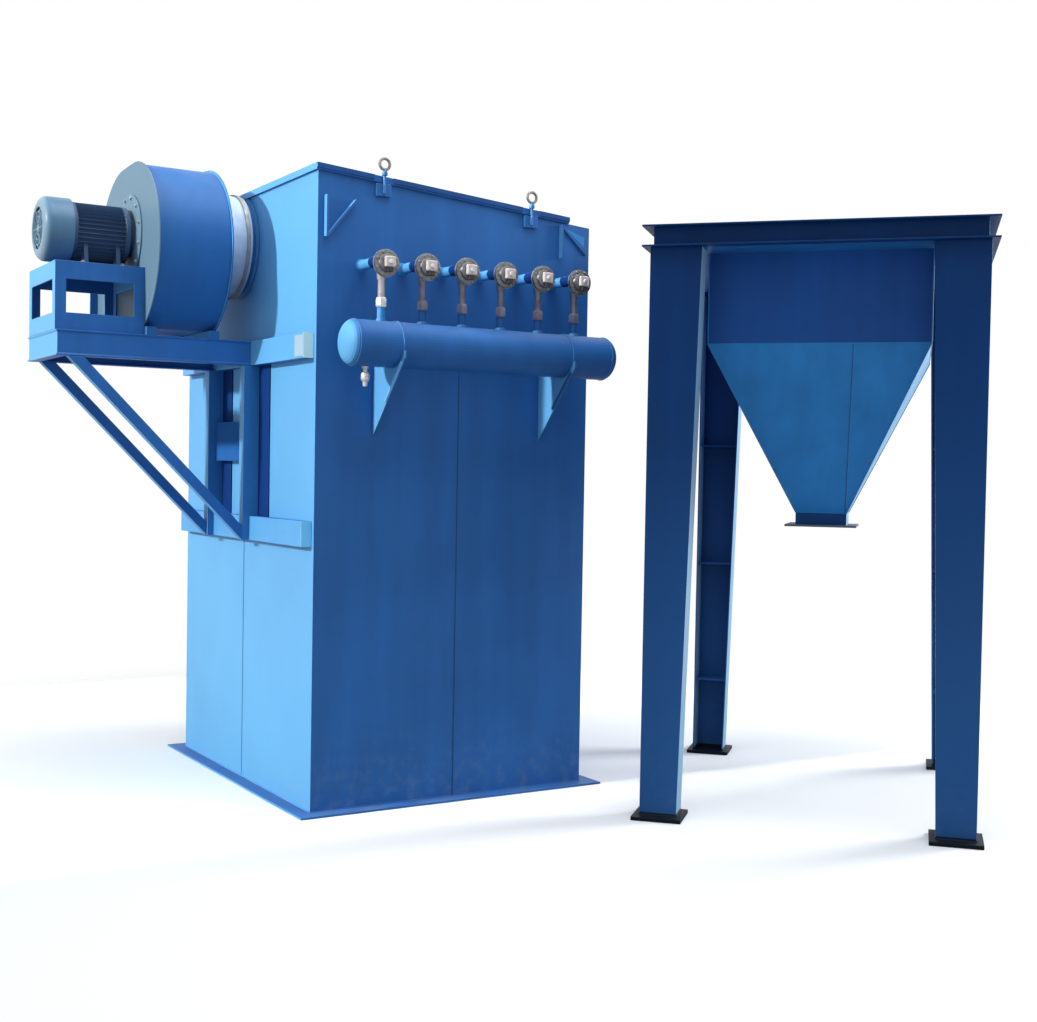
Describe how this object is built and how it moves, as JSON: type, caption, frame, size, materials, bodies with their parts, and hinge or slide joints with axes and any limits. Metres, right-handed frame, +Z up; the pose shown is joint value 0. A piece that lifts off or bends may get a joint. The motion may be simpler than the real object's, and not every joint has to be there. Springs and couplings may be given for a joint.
{
  "type": "baghouse dust collector",
  "caption": "Pulse-jet baghouse dust collector: a tall sheet-steel filter housing with side fan, air tank and pulse valves, and its hopper section on tapered legs standing beside it.",
  "frame": {"origin": "near left bottom corner of the filter housing's walls, on the underside of its base flange, at floor level", "axes": "+X along the front wall that carries the pulse valves, away from the fan; +Y back along the fan side wall; +Z up"},
  "size_m": [4.7421, 3.7801, 3.0887],
  "materials": {
    "housing_paint": "semi-gloss blue enamel on sheet steel",
    "hopper_paint": "semi-gloss blue enamel on sheet steel",
    "hopper_stand_paint": "darker blue enamel on steel sections",
    "fan_side_paint": "pale blue enamel, weathered",
    "motor_paint": "dark blue enamel on a ribbed casting",
    "cowl_steel": "grey-blue pressed steel",
    "connector_canvas": "pale coated canvas",
    "valve_casting": "cast aluminium, satin",
    "bright_steel": "zinc-plated steel"
  },
  "bodies": {
    "root": {"air_tank_end_left": "housing_paint", "air_tank_end_right": "housing_paint", "air_tank_shell": "housing_paint", "base_flange": "housing_paint", "brace_far": "housing_paint", "brace_near": "housing_paint", "corner_ribs_left": "housing_paint", "corner_ribs_right": "housing_paint", "fan_foot_inlet": "housing_paint", "fan_foot_motor": "housing_paint", "fan_outlet_flange": "housing_paint", "fan_scroll": "housing_paint", "fan_side_plate_inlet": "fan_side_paint", "fan_side_plate_motor": "fan_side_paint", "fan_side_wall": "housing_paint", "fan_wall_frame": "housing_paint", "front_wall": "housing_paint", "hopper_ledge": "hopper_stand_paint", "hopper_outlet_flange": "hopper_stand_paint", "hopper_shell": "hopper_paint", "hopper_top_frame": "hopper_stand_paint", "inlet_connector": "connector_canvas", "inlet_spigot": "housing_paint", "leg_front_left": "hopper_stand_paint", "leg_front_right": "hopper_stand_paint", "leg_rear_left": "hopper_stand_paint", "leg_rear_right": "hopper_stand_paint", "lifting_eye_front_left": "bright_steel", "lifting_eye_front_right": "bright_steel", "lifting_eye_rear_left": "bright_steel", "lifting_eye_rear_right": "bright_steel", "motor_body": "motor_paint", "motor_cowl": "cowl_steel", "motor_stand": "housing_paint", "platform_beam_far": "housing_paint", "platform_beam_near": "housing_paint", "platform_end_beam": "housing_paint", "pulse_valve_1": "valve_casting", "pulse_valve_2": "valve_casting", "pulse_valve_3": "valve_casting", "pulse_valve_4": "valve_casting", "pulse_valve_5": "valve_casting", "pulse_valve_6": "valve_casting", "rear_wall": "housing_paint", "right_wall": "housing_paint", "roof_cover": "housing_paint", "roof_sheet": "housing_paint", "tank_bracket_left": "housing_paint", "tank_bracket_right": "housing_paint", "tank_drain_cock": "bright_steel", "upper_wall_beam": "housing_paint"}
  },
  "joints": []
}
